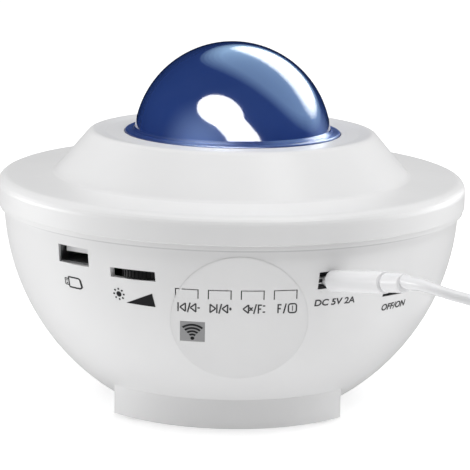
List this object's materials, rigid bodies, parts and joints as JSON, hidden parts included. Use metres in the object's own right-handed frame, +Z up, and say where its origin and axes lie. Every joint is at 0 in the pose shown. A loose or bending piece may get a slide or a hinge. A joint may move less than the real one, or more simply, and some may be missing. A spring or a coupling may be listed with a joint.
{
  "type": "star night light projector",
  "caption": "Bowl-shaped night light projector with a blue dome, side control panel, loudspeaker foot and USB power cable.",
  "frame": {"origin": "on the table, under the centre of the bowl", "axes": "+Z up along the dome's axis, -Y out of the control panel, +X to the right as seen from the panel side"},
  "size_m": [0.2242, 0.2035, 0.1276],
  "materials": {
    "shell_white": "smooth satin-gloss moulded ABS",
    "dome_blue": "high-gloss deep blue acrylic, slightly see-through",
    "film": "thin satin polyester overlay",
    "ir_grey": "grey infrared-passing plastic",
    "pad_grey": "matt soft rubber",
    "steel": "zinc-plated steel",
    "tin_plate": "nickel-plated sheet",
    "board_green": "green solder mask on glass laminate",
    "board_white": "white solder mask",
    "black_plastic": "fine-textured black plastic",
    "grey_plastic": "matt grey plastic",
    "white_plastic": "white engineering plastic",
    "usb_white": "white contact carrier",
    "brass": "turned brass",
    "clear_plastic": "clear polished acrylic",
    "lamp_yellow": "phosphor-filled lamp package",
    "ferrite": "dark sintered ferrite",
    "speaker_black": "black enamel",
    "cone_paper": "pressed paper pulp",
    "soft_black": "soft foam rubber",
    "part_mix": "mixed component packages",
    "wire_red": "red wire insulation",
    "wire_yellow": "yellow wire insulation",
    "wire_grey": "grey wire insulation",
    "cable_white": "white soft cable jacket"
  },
  "bodies": {
    "housing": {"top_cover": "shell_white", "bowl_shell": "shell_white", "base_stand": "shell_white", "foot_pads": "pad_grey", "stand_screws": "steel", "case_screws": "steel", "dome_lens": "dome_blue", "label_film": "film", "ir_window": "ir_grey", "key_board": "board_green", "tact_switches": "part_mix", "ir_receiver": "black_plastic", "data_board": "board_green", "usb_shell": "tin_plate", "usb_tongue": "usb_white", "pot_case": "grey_plastic", "power_board": "board_green", "dc_jack": "black_plastic", "slide_switch_case": "tin_plate", "board_screws": "steel", "optics_tray": "grey_plastic", "tray_screws": "steel", "led_board": "board_white", "led_chips": "lamp_yellow", "led_lenses": "clear_plastic", "laser_holder": "grey_plastic", "laser_module": "brass", "grating_disc": "clear_plastic", "drive_motor": "tin_plate", "motor_screws": "steel", "speaker_frame": "speaker_black", "speaker_magnet": "ferrite", "speaker_surround": "soft_black", "speaker_screws": "steel", "main_board": "board_green", "main_board_parts": "part_mix", "main_board_screws": "steel", "speaker_wires": "wire_red", "motor_wires": "wire_red", "led_wires": "wire_yellow", "panel_wires": "wire_grey", "dc_plug": "cable_white", "cable_relief": "cable_white", "cable_run": "cable_white", "cable_coil": "cable_white", "cable_tail": "cable_white", "cable_tie": "cable_white", "usb_plug_body": "cable_white", "usb_plug_shell": "tin_plate"},
    "power_switch": {"switch_knob": "black_plastic"},
    "key_1_body": {"key_1": "shell_white"},
    "key_2_body": {"key_2": "shell_white"},
    "key_3_body": {"key_3": "shell_white"},
    "key_4_body": {"key_4": "shell_white"},
    "turntable": {"gear_wheel": "white_plastic", "ripple_lens": "clear_plastic"},
    "pinion": {"motor_shaft": "steel", "drive_pinion": "white_plastic"},
    "cone": {"speaker_cone": "cone_paper"},
    "brightness": {"brightness_wheel": "black_plastic"}
  },
  "joints": [
    {"name": "switch_slide", "type": "slide", "parent": "housing", "child": "power_switch", "axis": [0.829, 0.5592, 0], "range_m": [0, 0.0025]},
    {"name": "brightness_turn", "type": "hinge", "parent": "housing", "child": "brightness", "pos_m": [-0.02814, -0.06815, 0.05875], "axis": [0, 0, 1], "range_deg": [0, 270]},
    {"name": "key_1_press", "type": "hinge", "parent": "housing", "child": "key_1_body", "pos_m": [-0.01385, -0.07563, 0.0514], "axis": [-1, 0, 0], "range_deg": [0, 5], "stiffness_Nm_per_rad": 0.01},
    {"name": "key_2_press", "type": "hinge", "parent": "housing", "child": "key_2_body", "pos_m": [-0.00315, -0.07683, 0.0514], "axis": [-1, 0, 0], "range_deg": [0, 5], "stiffness_Nm_per_rad": 0.01},
    {"name": "key_3_press", "type": "hinge", "parent": "housing", "child": "key_3_body", "pos_m": [0.00755, -0.07652, 0.0514], "axis": [-1, 0, 0], "range_deg": [0, 5], "stiffness_Nm_per_rad": 0.01},
    {"name": "key_4_press", "type": "hinge", "parent": "housing", "child": "key_4_body", "pos_m": [0.01825, -0.07469, 0.0514], "axis": [-1, 0, 0], "range_deg": [0, 5], "stiffness_Nm_per_rad": 0.01},
    {"name": "turntable_turn", "type": "hinge", "parent": "housing", "child": "turntable", "pos_m": [0, 0, 0.0866], "axis": [0, 0, 1], "continuous": true},
    {"name": "pinion_turn", "type": "hinge", "parent": "housing", "child": "pinion", "pos_m": [0, 0.036, 0.0866], "axis": [0, 0, 1], "continuous": true},
    {"name": "cone_travel", "type": "slide", "parent": "housing", "child": "cone", "axis": [0, 0, 1], "range_m": [-0.0008, 0.0008], "stiffness_N_per_m": 600}
  ],
  "couplings": [
    {"joint": "pinion_turn", "follows": "turntable_turn", "ratio": -5}
  ]
}
